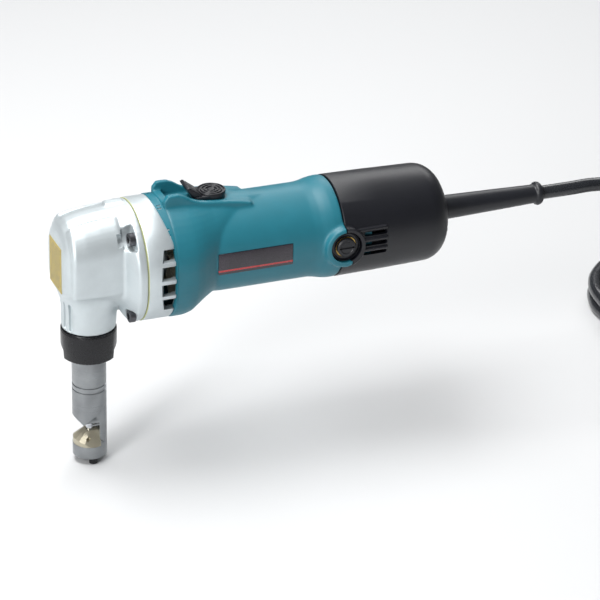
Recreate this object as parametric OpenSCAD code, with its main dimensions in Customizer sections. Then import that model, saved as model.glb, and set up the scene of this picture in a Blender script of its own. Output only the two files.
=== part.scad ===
// Corded sheet metal nibbler with a turning die holder, built as an assembly.
// Origin: centre of the hand grip, on the motor axis.
// +X runs along the motor towards the cord, +Z is up and the punch points down.

/* [Layout] */
// Distance from the grip centre forward to the punch axis
punch_reach = 112; // [104:1:120]
// Height of the crankshaft above the motor axis
crank_rise = 16.8; // [16.8]
// Travel of the punch
stroke = 6; // [4:1:6]
// Distance between the centres of the connecting rod's eyes
rod_length = 27; // [26:0.5:28]
// Level of the surface that the tool's lowest point reaches
floor_z = -142.5; // [-146:0.5:-142.5]

/* [Gear head] */
// Width of the head's front face
face_w = 48; // [44:1:52]
// Width of the flange that the motor housing bolts to
flange_w = 77; // [74:1:80]
// Height of that flange
flange_h = 80; // [76:1:82]
// Radius of the flange's corners
flange_corner = 24; // [20:1:26]
// Radius of the neck above the lock nut
neck_r = 17.5; // [17:0.5:19]

/* [Nose] */
// Outer radius of the tubular die holder
holder_r = 11.2; // [10.8:0.1:11.6]
// Outer radius of the lock nut
nut_r = 18.1; // [17.5:0.1:19]
// Radius of the punch at its cutting end
punch_r = 2.6; // [2.4:0.1:2.6]

/* [Gears] */
// Module of the spur teeth
gear_module = 0.7; // [0.7]
// Teeth on the motor pinion
pinion_teeth = 6; // [6]
// Teeth on the crankshaft gear
gear_teeth = 42; // [42]

/* [Motor] */
// Radius of the grip
grip_r = 31; // [30.5:0.1:32]
// Radius of the field core
field_r = 25.5; // [24.5:0.1:25.5]
// Radius of the armature core
armature_r = 15.5; // [14:0.1:16]

/* [Switch] */
// Travel of the slide switch
switch_travel = 6; // [4:1:6]

/* [Cord] */
// Diameter of the supply cord
cord_d = 9.4; // [9.4]
// Columns of turns in the stored coil
coil_columns = 3; // [3]
// Layers of turns in the stored coil
coil_layers = 2; // [2]

/* [Hidden] */

$fn = 64;
hull_fn = 32;
fit_gap = 0.05;

// Stations along the motor axis, measured back from the punch axis
head_front = -21.2;
chamber_front = -10;
web_front = 5.2;
web_back = 10.2;
front_bearing_at = [11, 19];
gear_at = [20.4, 27.4];
seam = 28.2;
box_back = 46;
box_lip = 49;
rear_bearing_at = [30, 36];
armature_bearing_at = [37.5, 45.5];
fan_at = [50.5, 58];
grip_front = 83;
field_at = [86, 132];
grip_waist = 127.6;
grip_back = 146;
cover_front = 162.3;
brush_station = 162.3;
housing_back = 182;
shaft_bearing_at = [183, 190];
cover_back = 239.8;
guard_end = 317;

flange_z = -2.5;
wall = 3;
neck_foot = -45.2;
spigot_r = 15;
spigot_foot = -57;
crank_throw = stroke / 2;
pin_centre_z = crank_rise + crank_throw;
wrist_z = pin_centre_z - rod_length;
chamber_r = 12;
chamber_half = 9.8;
chamber_floor = -19.8;
slider_r = 8;
slider_top = -1;
slider_foot = -55;
bush_r = 10.8;
bush_foot = -52;
nut_top = -45.4;
nut_foot = -65.6;
nut_lip = 3;
nut_flat = 16;
nut_flat_h = 8.5;
holder_top = -57.3;
holder_foot = -138.5;
window_top = -113.4;
window_foot = -129.6;
wall_face = 4.5;
barrel_top = -65.8;
collar_foot = -61.6;
collar_r = 14.6;
bore_foot_r = 4.7;
relief = 0.2; // how much slimmer the holder is outside its ground stretch
// Side views of the cuts in the die holder, as distance back from the punch axis and height
front_slope = [[-6.7, window_top - 1], [-6.7, window_top], [-13, window_top + 6.3], [-13, window_top - 1]];
side_flat = [
    [-6, window_top - 1], [wall_face, -106.8], [13, -94], [13, -134.2],
    [wall_face, -125.7], [wall_face - 0.1, window_top - 1]
];
die_top = -120.5;
punch_tip = -122.5;
bore_r = 28;
rear_r = 33.5;
spigot_rear_r = 30.4;
boss_r = 13.3;
boss_face = 35.8;
insulator_r = 10.4;
lever_floor = 33.2;
wall_top = 43.5;
recess_half = 9.5;
waist_r = grip_r + 0.45;
// Side view of the switch saddle, as station and height
saddle_side = [
    [box_back, 30], [box_back, 40.5], [49, wall_top], [56, wall_top],
    [64, 39], [71, 37.2], [94, 36], [100, 30]
];
sill_top = 37.9;
cord_r = cord_d / 2;

screw_spots = [[28, 25], [-28, 25], [28, -30], [-28, -30]];

// Turns an upright shape so that its own Z runs along the motor, from station a
module along_motor(a, y = 0, z = 0) {
    translate([a - punch_reach, y, z])
        rotate([90, 0, 90])
            children();
}

// A round bar along the motor axis between two stations
module bar(span, r, y = 0, z = 0) {
    along_motor(span[0], y, z)
        cylinder(r = r, h = span[1] - span[0]);
}

// A tube along the motor axis
module pipe(span, r_out, r_in, y = 0, z = 0) {
    difference() {
        bar(span, r_out, y, z);
        bar([span[0] - 1, span[1] + 1], r_in, y, z);
    }
}

// A round bar on the punch axis between two heights
module post(z_low, z_high, r) {
    translate([-punch_reach, 0, z_low])
        cylinder(r = r, h = z_high - z_low);
}

// A block given by its station, its side and its height ranges
module block(xs, ys, zs) {
    translate([xs[0] - punch_reach, ys[0], zs[0]])
        cube([xs[1] - xs[0], ys[1] - ys[0], zs[1] - zs[0]]);
}

// A rounded rectangle, made of two bars and four corner circles
module rounded_rect(w, h, r, segments = $fn) {
    square([w - 2 * r, h], center = true);
    square([w, h - 2 * r], center = true);
    for (sx = [-1, 1])
        for (sy = [-1, 1])
            translate([sx * (w / 2 - r), sy * (h / 2 - r)])
                circle(r = r, $fn = segments);
}

// A slab of the flange's outline, shrunk by inset, between two stations
module flange_slab(span, inset = 0, segments = $fn) {
    along_motor(span[0], 0, flange_z)
        linear_extrude(span[1] - span[0])
            rounded_rect(flange_w - 2 * inset, flange_h - 2 * inset,
                flange_corner - inset, segments);
}

// A thin rounded slab of the head, used between stations of the casting
module head_slab(at, w, z_low, z_high, r) {
    along_motor(at, 0, (z_low + z_high) / 2)
        linear_extrude(0.5)
            rounded_rect(w, z_high - z_low, r, hull_fn);
}

// ---- Gear tooth outline -------------------------------------------------

// A point on an involute, r_base being its base radius and t the roll in degrees
function involute(r_base, t) = [
    r_base * (cos(t) + t * PI / 180 * sin(t)),
    r_base * (sin(t) - t * PI / 180 * cos(t))
];

// Roll angle at which an involute reaches radius r
function roll_at(r_base, r) =
    r <= r_base ? 0 : sqrt(r * r / (r_base * r_base) - 1) * 180 / PI;

function turn2(p, a) = [p[0] * cos(a) - p[1] * sin(a), p[0] * sin(a) + p[1] * cos(a)];

pressure_angle = 20;
tooth_steps = 4;
backlash = 0.06;
pinion_shift = 0.55;

// Half the angle of a tooth at the base circle
function half_tooth(teeth, shift) =
    90 / teeth
    + 2 * shift * tan(pressure_angle) / teeth * 180 / PI
    + (tan(pressure_angle) * 180 / PI - pressure_angle)
    - backlash / (gear_module * teeth / 2) * 180 / PI;

// Points of one tooth flank, from root to tip
function flank(teeth, r_root, r_tip, shift, side) =
    let (r_base = gear_module * teeth / 2 * cos(pressure_angle))
    let (t0 = roll_at(r_base, r_root))
    let (t1 = roll_at(r_base, r_tip))
    let (half = half_tooth(teeth, shift))
    concat(
        r_root < r_base ? [turn2([r_root, 0], -side * half)] : [],
        [for (i = [0 : tooth_steps])
            let (p = involute(r_base, t0 + (t1 - t0) * i / tooth_steps))
            turn2([p[0], side * p[1]], -side * half)]
    );

function reversed(list) = [for (i = [len(list) - 1 : -1 : 0]) list[i]];

// Outline of a spur gear, its first tooth pointing along its own X
module spur_outline(teeth, r_root, r_tip, shift) {
    polygon([
        for (k = [0 : teeth - 1])
            for (p = concat(
                flank(teeth, r_root, r_tip, shift, 1),
                reversed(flank(teeth, r_root, r_tip, shift, -1))))
                turn2(p, k * 360 / teeth)
    ]);
}

pinion_root = 1.6;
pinion_tip = 2.95;
gear_root = 13.6;
gear_tip = 14.85;

// ---- Gear head ----------------------------------------------------------

module head_outer() {
    // Front block
    hull() {
        head_slab(head_front, 30, -14, 24, 9);
        head_slab(head_front + 3, 41, -19, 30.5, 13);
        head_slab(head_front + 12, face_w, -24, 35.5, 15);
        head_slab(12, face_w + 6, -31, 37, 17);
    }
    // Widening back to the flange
    hull() {
        head_slab(12, face_w + 6, -31, 37, 17);
        flange_slab([21, 22], 1.5, hull_fn);
    }
    flange_slab([21.4, seam - 0.4], 0.6);
    // Neck that carries the lock nut
    hull() {
        post(neck_foot, neck_foot + 14, neck_r);
        head_slab(-14, 34, -26, -20, 2);
        head_slab(12, 44, -30, -20, 4);
    }
    post(spigot_foot, neck_foot + 1, spigot_r);
}

module gear_housing() {
    color("gainsboro")
        difference() {
            head_outer();
            // Crank chamber and the way down for the rod
            bar([chamber_front, web_back + 0.5], chamber_r, 0, crank_rise);
            block([-9.4, web_back - 0.8], [-chamber_half, chamber_half], [chamber_floor, crank_rise]);
            // Bearing seat, gear chamber and room for the pinion
            bar([web_back, 12], 9.6, 0, crank_rise);
            bar([front_bearing_at[0], gear_at[0] - 1], 10.5, 0, crank_rise);
            bar([gear_at[0] - 1.2, seam + 1], 15.5, 0, crank_rise);
            bar([17, seam + 1], 7, 0, 0);
            // Bore for the guide bush
            post(spigot_foot - 1, chamber_floor + 1, slider_r + 0.6);
            post(bush_foot, chamber_floor + 1, bush_r);
            // Screw holes with recesses for the heads
            for (s = screw_spots) {
                bar([12, seam + 1], 2.5, s[0], s[1]);
                bar([8, 21], 4.6, s[0], s[1]);
            }
        }
}

module front_label() {
    color("goldenrod")
        block([head_front - 0.3, head_front], [-11.8, 11.8], [-14.5, 16.5]);
}

module housing_gasket() {
    color("darkkhaki")
        difference() {
            flange_slab([seam - 0.4, seam], 0.9);
            bar([seam - 2, seam + 2], 15.6, 0, crank_rise);
            bar([seam - 2, seam + 2], 7, 0, 0);
            for (s = screw_spots)
                bar([seam - 2, seam + 2], 2.5, s[0], s[1]);
        }
}

vent_count = 4;
vent_pitch = 11.2;
vent_h = 9;
vent_top = 20;

module bearing_box() {
    color("gainsboro")
        difference() {
            union() {
                flange_slab([seam, 36.5]);
                difference() {
                    flange_slab([36, box_back]);
                    flange_slab([35, box_back + 1], 4);
                }
                difference() {
                    flange_slab([box_back - 1, box_lip], 3.2);
                    flange_slab([box_back - 2, box_lip + 1], 5.2);
                }
                for (s = screw_spots)
                    bar([36, box_back], 5, s[0], s[1]);
                bar([36, armature_bearing_at[1] + 0.2], 17.5);
            }
            // Vents in both sides
            for (side = [-1, 1])
                for (i = [0 : vent_count - 1])
                    translate([0, side * flange_w / 2, vent_top - i * vent_pitch])
                        block([37.6, box_back - 0.8], [-6, 6], [-vent_h, 0]);
            // Seats of the two bearings and the way between them
            bar([rear_bearing_at[0], rear_bearing_at[1]], 8, 0, crank_rise);
            bar([seam - 1, rear_bearing_at[0] + 1], 7.4, 0, crank_rise);
            bar([armature_bearing_at[0], box_lip + 1], 13);
            bar([seam - 1, box_back], 6);
            for (s = screw_spots)
                bar([seam - 1, box_lip + 1], 2.5, s[0], s[1]);
            for (y = [-1, 1])
                bar([40, box_lip], 1.5, y * 14, 0);
        }
}

module housing_screws() {
    color("dimgray")
        for (s = screw_spots)
            difference() {
                union() {
                    bar([17.2, 21], 4.3, s[0], s[1]);
                    bar([21, 60], 2.45, s[0], s[1]);
                }
                along_motor(17, s[0], s[1])
                    linear_extrude(2.4)
                        circle(r = 2.4, $fn = 6);
            }
}

module guide_bush() {
    color("peru")
        difference() {
            post(bush_foot, chamber_floor - 0.2, bush_r);
            post(bush_foot - 1, 0, slider_r + fit_gap);
        }
}

// A ball bearing: two races and a ring of balls between them
module ball_bearing(span, r_out, r_in, z, balls) {
    race = (r_out - r_in) / 3.4;
    ball_r = (r_out - r_in - 2 * race) / 2;
    pipe(span, r_out, r_out - race, 0, z);
    pipe(span, r_in + race, r_in, 0, z);
    for (k = [0 : balls - 1])
        translate([(span[0] + span[1]) / 2 - punch_reach, 0, z])
            rotate([k * 360 / balls, 0, 0])
                translate([0, 0, (r_out + r_in) / 2])
                    sphere(r = ball_r * 0.98);
}

module crank_front_bearing() {
    color("lightsteelblue")
        ball_bearing(front_bearing_at, 10.5, 6 + fit_gap, crank_rise, 9);
}

module crank_rear_bearing() {
    color("lightsteelblue")
        ball_bearing(rear_bearing_at, 8, 4 + fit_gap, crank_rise, 8);
}

// ---- Crank drive --------------------------------------------------------

module crankshaft() {
    color("silver")
        union() {
            bar([web_front - 10.8, web_front + 0.1], 4, 0, pin_centre_z);
            bar([web_front, web_back], 9, 0, crank_rise);
            bar([web_back, gear_at[1] + 0.6], 6, 0, crank_rise);
            bar([gear_at[1], rear_bearing_at[1] - 0.2], 4, 0, crank_rise);
        }
}

module drive_gear() {
    color("gray")
        difference() {
            along_motor(gear_at[0], 0, crank_rise)
                linear_extrude(gear_at[1] - gear_at[0])
                    spur_outline(gear_teeth, gear_root, gear_tip, -pinion_shift);
            bar([gear_at[0] - 1, gear_at[1] + 1], 6, 0, crank_rise);
            for (side = [0, 1])
                pipe(side == 0 ? [gear_at[0] - 1, gear_at[0] + 1.6]
                    : [gear_at[1] - 1.6, gear_at[1] + 1], 11.8, 8.4, 0, crank_rise);
        }
}

rod_half = 4.5;
big_eye_r = 8;
small_eye_r = 5.3;

module rod_needle_bearing() {
    color("lightsteelblue")
        pipe([-rod_half, rod_half], 5.4, 4 + fit_gap, 0, pin_centre_z);
}

module connecting_rod() {
    color("darkgray")
        difference() {
            union() {
                bar([-rod_half, rod_half], big_eye_r, 0, pin_centre_z);
                bar([-rod_half, rod_half], small_eye_r, 0, wrist_z);
                block([-3, 3], [-3.6, 3.6], [wrist_z, pin_centre_z]);
            }
            bar([-rod_half - 1, rod_half + 1], 5.4, 0, pin_centre_z);
            bar([-rod_half - 1, rod_half + 1], 3, 0, wrist_z);
        }
}

module wrist_pin() {
    color("silver")
        bar([-rod_half, rod_half], 3, 0, wrist_z);
}

// ---- Punch --------------------------------------------------------------

punch_shoulder = -104;

module punch_holder() {
    color("slategray")
        difference() {
            post(slider_foot, slider_top, slider_r);
            // Fork for the rod's small eye, deep enough for the whole stroke
            block([-rod_half - 0.2, rod_half + 0.2], [-10, 10], [-20, slider_top + 1]);
            // Seat of the punch and the threaded hole of its screw
            post(slider_foot - 1, -36, 4.5);
            translate([-punch_reach, 0, -45])
                rotate([0, 90, 0])
                    cylinder(r = 2, h = 9);
        }
}

module punch() {
    color("silver")
        difference() {
            union() {
                post(punch_shoulder, -36, 4.5);
                post(punch_tip, punch_shoulder + 1, punch_r);
            }
            // Flat for the set screw
            block([4, 6], [-6, 6], [-50, -41]);
        }
}

module punch_set_screw() {
    color("dimgray")
        difference() {
            translate([4 - punch_reach, 0, -45])
                rotate([0, 90, 0])
                    cylinder(r = 2, h = 3.6);
            translate([6 - punch_reach, 0, -45])
                rotate([0, 90, 0])
                    cylinder(r = 1, h = 3, $fn = 6);
        }
}

// ---- Nose ---------------------------------------------------------------

groove_levels = [-86.1, -89.8];
die_screw_y = 7;

module die_holder() {
    color("darkgray")
        difference() {
            union() {
                post(groove_levels[0], barrel_top, holder_r);
                post(barrel_top - 0.1, holder_top, holder_r - relief);
                post(holder_foot, groove_levels[0] + 0.1, holder_r - relief);
                post(collar_foot, holder_top, collar_r);
            }
            // Room for the punch holder and the punch
            post(barrel_top, holder_top + 1, slider_r + 0.5);
            post(window_top - 1, barrel_top + 1, bore_foot_r);
            // Working window in front of the back wall, with a sloping front edge
            block([-13, wall_face], [-13, 13], [window_foot, window_top]);
            translate([-punch_reach, 0, 0])
                rotate([90, 0, 0])
                    linear_extrude(26, center = true)
                        polygon(front_slope);
            // Flats milled on the back wall, running out up and down
            for (side = [-1, 1])
                translate([-punch_reach, side * 10.6, 0])
                    rotate([90, 0, 0])
                        linear_extrude(6, center = true)
                            polygon(side_flat);
            // Thickness grooves
            for (z = groove_levels)
                difference() {
                    post(z - 0.4, z + 0.4, holder_r + 1);
                    post(z - 1, z + 1, holder_r - 0.5);
                }
            // Chip hole and die screw holes
            post(holder_foot - 1, window_foot + 1, 4);
            for (side = [-1, 1])
                translate([-punch_reach, side * die_screw_y, holder_foot - 1])
                    cylinder(r = 1.6, h = 12);
        }
}

module die() {
    color("wheat")
        difference() {
            intersection() {
                hull() {
                    post(window_foot, window_foot + 4, holder_r - relief);
                    post(die_top - 0.5, die_top, 3.9);
                }
                block([-12, wall_face], [-12, 12], [window_foot, die_top]);
            }
            post(window_foot - 1, die_top + 1, punch_r + 0.1);
            post(window_foot - 1, -126, 4);
            for (side = [-1, 1])
                translate([-punch_reach, side * die_screw_y, window_foot - 1])
                    cylinder(r = 1.5, h = 4);
        }
}

module die_screws() {
    color("black")
        for (side = [-1, 1])
            translate([-punch_reach, side * die_screw_y, floor_z])
                difference() {
                    union() {
                        cylinder(r = 2.75, h = holder_foot - floor_z);
                        cylinder(r = 1.5, h = window_foot + 3 - floor_z);
                    }
                    translate([0, 0, -1])
                        cylinder(r = 1.4, h = 2.8, $fn = 6);
                }
}

module thrust_washer() {
    color("dimgray")
        difference() {
            post(nut_foot + nut_lip + 0.05, -61.8, 14.8);
            post(nut_foot, -60, holder_r + 0.3);
        }
}

module lock_nut() {
    color("black")
        difference() {
            union() {
                post(nut_foot + nut_flat_h, nut_top, nut_r);
                // Two flats for a wrench
                intersection() {
                    post(nut_foot, nut_foot + nut_flat_h, nut_r);
                    block([-nut_flat, nut_flat], [-nut_r, nut_r], [nut_foot, nut_foot + nut_flat_h]);
                }
            }
            post(nut_foot + nut_lip, nut_top + 1, spigot_r + 0.06);
            post(nut_foot - 1, nut_top, holder_r + 0.3);
        }
}

// ---- Motor housing ------------------------------------------------------

saddle_w = 27;
recess = [51.5, 94.5];
post_at = [73, 79];
lever_pivot = [76, 35.4];
pivot_r = 1;

// A round bar across the tool, between two distances from the middle, on one side
module side_bar(side, near, out, r, at = brush_station) {
    translate([at - punch_reach, side * near, 0])
        rotate([-90 * side, 0, 0])
            cylinder(r = r, h = out - near);
}

module housing_outer() {
    flange_slab([box_back, 57]);
    hull() {
        flange_slab([56, 57], 0, hull_fn);
        along_motor(grip_front, 0, 0)
            cylinder(r = waist_r, h = 1, $fn = hull_fn * 2);
    }
    bar([grip_front, grip_waist], waist_r);
    bar([grip_waist, grip_back], grip_r);
    along_motor(grip_back)
        cylinder(r1 = grip_r, r2 = rear_r, h = 8);
    bar([grip_back + 8, cover_front], rear_r);
    bar([cover_front, housing_back], spigot_rear_r);
    // Saddle that holds the switch lever, and its two side walls
    hull() {
        along_motor(box_back, 0, 17.5)
            linear_extrude(1)
                rounded_rect(saddle_w, 38, 7, hull_fn);
        along_motor(92, 0, 17)
            linear_extrude(1)
                rounded_rect(saddle_w, 38, 7, hull_fn);
        along_motor(108, 0, 15)
            linear_extrude(1)
                rounded_rect(saddle_w - 8, 33, 7, hull_fn);
    }
    translate([-punch_reach, saddle_w / 2, 0])
        rotate([90, 0, 0])
            linear_extrude(saddle_w)
                polygon(saddle_side);
    for (side = [-1, 1])
        intersection() {
            side_bar(side, 24, boss_face, boss_r);
            block([brush_station - 20, brush_station], [-50, 50], [-20, 20]);
        }
}

module housing_inner() {
    flange_slab([box_back - 4, 57.1], 3.2);
    hull() {
        flange_slab([56, 57], wall + 0.2, hull_fn);
        along_motor(grip_front, 0, 0)
            cylinder(r = bore_r, h = 1, $fn = hull_fn * 2);
    }
    bar([grip_front, housing_back - 4], bore_r);
}

module motor_housing() {
    color("darkcyan")
        difference() {
            union() {
                difference() {
                    housing_outer();
                    housing_inner();
                }
                // Floor of the switch recess
                block([box_lip + 0.2, 100], [-saddle_w / 2 + 1, saddle_w / 2 - 1], [30.6, lever_floor]);
                // Rib that the fan baffle rests on
                pipe([61.5, 63.5], 33, 27);
                // Bosses for the long housing screws
                for (s = screw_spots)
                    bar([box_lip, 62], 5, s[0], s[1]);
                // Four ribs that centre the field core
                for (a = [45 : 90 : 315])
                    intersection() {
                        pipe([field_at[0] - 3, field_at[1] + 3], bore_r + 0.5, field_r);
                        translate([field_at[0] - 4 - punch_reach, 0, 0])
                            rotate([a, 0, 0])
                                translate([0, -4, 0])
                                    cube([field_at[1] - field_at[0] + 8, 8, 40]);
                    }
                // Pocket of the rear bearing and the shelves behind it
                bar([housing_back - 4, 192], 13.5);
                for (side = [-1, 1])
                    block([housing_back - 1, 210], [-12, 12],
                        side > 0 ? [12.4, 14] : [-14, -12.4]);
            }
            block(recess, [-recess_half, recess_half], [lever_floor, 60]);
            block([40, recess[0] + 1], [-recess_half, recess_half], [sill_top, 60]);
            block([post_at[0] - switch_travel - 0.6, post_at[1] + 0.6], [-3.1, 3.1], [27, 34]);
            // Seat of the rubber sleeve, and the way through the rear wall
            bar([shaft_bearing_at[0] - 1.5, 193], 11.5);
            bar([housing_back - 5, 193], 6);
            for (a = [0 : 60 : 300])
                translate([housing_back - 5 - punch_reach, 0, 0])
                    rotate([a, 0, 0])
                        translate([0, -4.6, 19])
                            cube([7, 9.2, 9.4]);
            for (side = [-1, 1]) {
                side_bar(side, 20, 40, insulator_r);
                bar([housing_back - 5, housing_back + 1], 1.9, side * 22, -3);
            }
            for (s = screw_spots)
                bar([box_lip - 4, 60.2], 2.45, s[0], s[1]);
            // Flat pocket for the nameplate
            block([76.6, 127.4], [-40, -30.1], [-8.4, 6.4]);
        }
}

module nameplate() {
    color("black")
        block([76.8, 127.2], [-30.8, -30.1], [-8.2, 6.2]);
}

module fan_baffle() {
    color("dimgray")
        pipe([60.1, 61.5], 29.8, 17);
}

// ---- Motor --------------------------------------------------------------

module field_core() {
    color("gray")
        union() {
            pipe(field_at, field_r, 20.6);
            intersection() {
                pipe(field_at, 21, armature_r + 0.5);
                block(field_at, [-11, 11], [-30, 30]);
            }
        }
}

module field_coils() {
    color("chocolate")
        difference() {
            union() {
                pipe([field_at[0] - 5.5, field_at[0] - 0.2], 23.5, 17.2);
                pipe([field_at[1] + 0.2, field_at[1] + 5.5], 23.5, 17.2);
                difference() {
                    pipe([field_at[0] - 1, field_at[1] + 1], 20.4, 17.2);
                    block([field_at[0] - 2, field_at[1] + 2], [-11.2, 11.2], [-30, 30]);
                }
            }
        }
}

module armature_shaft() {
    color("silver")
        bar([29, shaft_bearing_at[1] + 0.5], 4);
}

module motor_pinion() {
    color("silver")
        along_motor(gear_at[0] - 0.6)
            linear_extrude(29 - gear_at[0] + 0.6)
                rotate(30)
                    spur_outline(pinion_teeth, pinion_root, pinion_tip, pinion_shift);
}

armature_slots = 12;

module armature_core() {
    color("gray")
        difference() {
            bar([field_at[0] + 1, field_at[1] - 1], armature_r);
            bar([field_at[0], field_at[1]], 4);
            for (k = [0 : armature_slots - 1])
                translate([field_at[0] - punch_reach, 0, 0])
                    rotate([k * 360 / armature_slots, 0, 0])
                        translate([0, -1, 9])
                            cube([field_at[1] - field_at[0], 2, 10]);
        }
}

module armature_winding() {
    color("sienna")
        union() {
            pipe([field_at[0] - 6, field_at[0] + 1], 13.4, 4);
            pipe([field_at[1] - 1, field_at[1] + 7], 13.4, 4);
        }
}

module commutator() {
    color("orange")
        difference() {
            union() {
                bar([153, 172], 12);
                bar([152, 155], 13.2);
            }
            bar([150, 175], 4);
            for (k = [0 : 2 * armature_slots - 1])
                translate([156 - punch_reach, 0, 0])
                    rotate([k * 180 / armature_slots, 0, 0])
                        translate([0, -0.3, 11])
                            cube([20, 0.6, 4]);
        }
}

fan_blades = 9;

module cooling_fan() {
    color("whitesmoke")
        difference() {
            union() {
                bar([fan_at[0], fan_at[1]], 8);
                bar([fan_at[1] - 1.4, fan_at[1]], 28.5);
                for (k = [0 : fan_blades - 1])
                    translate([fan_at[0] - punch_reach, 0, 0])
                        rotate([k * 360 / fan_blades, 0, 0])
                            translate([0, -0.7, 7])
                                cube([fan_at[1] - fan_at[0] - 0.2, 1.4, 21]);
            }
            bar([fan_at[0] - 1, fan_at[1] + 1], 4);
        }
}

module armature_front_bearing() {
    color("lightsteelblue")
        ball_bearing(armature_bearing_at, 11, 4 + fit_gap, 0, 8);
}

module armature_rear_bearing() {
    color("lightsteelblue")
        ball_bearing(shaft_bearing_at, 9.5, 4 + fit_gap, 0, 7);
}

module rear_bearing_sleeve() {
    color("black")
        pipe(shaft_bearing_at, 11.5, 9.5);
}

module bearing_retainer() {
    color("silver")
        difference() {
            pipe([45.7, 47.2], 17, 8);
            for (y = [-14, 14])
                bar([45, 48], 1.6, y);
        }
}

module retainer_screws() {
    color("dimgray")
        for (y = [-14, 14]) {
            bar([40.2, 47.3], 1.5, y);
            bar([47.2, 48.8], 2.6, y);
        }
}

module brush_holders() {
    color("black")
        for (side = [-1, 1])
            difference() {
                side_bar(side, 20, 34.8, insulator_r);
                side_bar(side, 19, 36, 7);
            }
}

module brush_guides() {
    color("gold")
        for (side = [-1, 1])
            difference() {
                side_bar(side, 14.5, 33.6, 7);
                block([brush_station - 3.1, brush_station + 3.1], [-40, 40], [-4.6, 4.6]);
                side_bar(side, 29.4, 34, 6);
            }
}

module carbon_brushes() {
    color("darkslategray")
        for (side = [-1, 1])
            block([brush_station - 3, brush_station + 3],
                side > 0 ? [12.4, 25] : [-25, -12.4], [-4.5, 4.5]);
}

spring_turns = 4;

module brush_springs() {
    color("silver")
        for (side = [-1, 1])
            for (k = [0 : spring_turns - 1])
                translate([brush_station - punch_reach, side * (25.5 + k * 1.1), 0])
                    rotate([90, 0, 0])
                        rotate_extrude()
                            translate([2.2, 0])
                                circle(r = 0.4);
}

module brush_caps() {
    color("black")
        for (side = [-1, 1])
            difference() {
                union() {
                    side_bar(side, 29.6, 34.9, 6);
                    side_bar(side, 34.8, 36.6, 6.4);
                }
                block([brush_station - 5.4, brush_station + 5.4],
                    side > 0 ? [35.6, 40] : [-40, -35.6], [-0.7, 0.7]);
            }
}

// ---- Switch -------------------------------------------------------------

module switch_block() {
    color("black")
        difference() {
            block([184, 208], [-10, 10], [14, 23.5]);
            block([187.6, 201.4], [-2.7, 2.7], [19.5, 24]);
        }
}

// A round bar across the tool at the lever's pivot
module pivot_bar(r, length) {
    translate([lever_pivot[0] - punch_reach, 0, lever_pivot[1]])
        rotate([90, 0, 0])
            cylinder(r = r, h = length, center = true);
}

module switch_rod() {
    color("dimgray")
        difference() {
            union() {
                block([72, 200.6], [-4, 4], [26, 27.2]);
                block(post_at, [-2.6, 2.6], [26.5, 36.9]);
                block([197, 200.6], [-2.2, 2.2], [20.5, 26.5]);
            }
            pivot_bar(pivot_r + 0.02, 8);
        }
}

module lever_pin() {
    color("silver")
        pivot_bar(pivot_r, 11);
}

module switch_lever() {
    color("black")
        difference() {
            union() {
                block([69, 82], [-8.4, 8.4], [34.4, 37.6]);
                translate([82.5 - punch_reach, 0, 34.4])
                    cylinder(r = 9.2, h = 3.8);
                // Finger fin that leans forward
                translate([-punch_reach, 0, 0])
                    rotate([90, 0, 0])
                        linear_extrude(14, center = true)
                            polygon([[69, 34.4], [73, 37.6], [64.4, 43.6], [63.2, 43.2]]);
            }
            block([post_at[0] - 0.7, post_at[1] + 0.7], [-2.9, 2.9], [33, 37.2]);
            pivot_bar(pivot_r + fit_gap, 12);
            // Rings of the thumb pad
            for (r = [2.6, 5, 7.4])
                translate([82.5 - punch_reach, 0, 37.6])
                    difference() {
                        cylinder(r = r, h = 1);
                        cylinder(r = r - 0.9, h = 3, center = true);
                    }
        }
}

module terminal_block() {
    color("ivory")
        block([184, 208], [-10, 10], [-23, -14]);
}

// ---- Rear cover ---------------------------------------------------------

cover_taper = 1.2;
cover_round = 15;
cover_steps = 8;

// Outline of the cover from its front rim round to its rear face, shrunk by t
function cover_outline(t) = concat(
    [[0, cover_front - t], [rear_r - t, cover_front - t]],
    [for (i = [0 : cover_steps])
        let (a = 90 * i / cover_steps)
        [
            rear_r - cover_taper - cover_round + (cover_round - t) * cos(a),
            cover_back - cover_round + (cover_round - t) * sin(a)
        ]],
    [[0, cover_back - t]]
);

module rear_cover() {
    color([0.09, 0.09, 0.1])
        difference() {
            union() {
                difference() {
                    along_motor(0)
                        rotate_extrude()
                            polygon(cover_outline(0));
                    along_motor(0)
                        rotate_extrude()
                            polygon(cover_outline(wall));
                    bar([cover_front - 4, housing_back + 0.4], spigot_rear_r);
                }
                for (side = [-1, 1])
                    difference() {
                        intersection() {
                            side_bar(side, 26, boss_face, boss_r);
                            block([brush_station, brush_station + 20], [-50, 50], [-20, 20]);
                        }
                        bar([cover_front - 4, housing_back + 0.4], spigot_rear_r);
                    }
                // Posts of the cover screws and the seat of the cord clamp
                for (side = [-1, 1])
                    bar([housing_back + 0.4, 236.9], 4, side * 22, -3);
                block([213, 223], [-29, 29], [-9.5, -2.6]);
            }
            for (side = [-1, 1]) {
                side_bar(side, 20, 40, insulator_r);
                bar([housing_back, 241], 1.9, side * 22, -3);
                bar([235, 241], 3.7, side * 22, -3);
                translate([218 - punch_reach, side * 10, -10])
                    cylinder(r = 1.5, h = 9);
            }
            bar([212, 224], 4.7);
            bar([230, 242], 8.3);
        }
}

module rear_cover_screws() {
    color("dimgray")
        for (side = [-1, 1]) {
            bar([178.5, 235.2], 1.9, side * 22, -3);
            difference() {
                bar([235, 237.4], 3.6, side * 22, -3);
                along_motor(236.2, side * 22, -3)
                    linear_extrude(2)
                        for (a = [0, 90])
                            rotate(a)
                                square([4.4, 1], center = true);
            }
        }
}

module cord_clamp() {
    color("dimgray")
        difference() {
            block([213.5, 222.5], [-13.5, 13.5], [1.2, 8]);
            bar([213, 223], cord_r);
            for (side = [-1, 1])
                translate([218 - punch_reach, side * 10, 0])
                    cylinder(r = 1.6, h = 9);
        }
}

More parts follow.
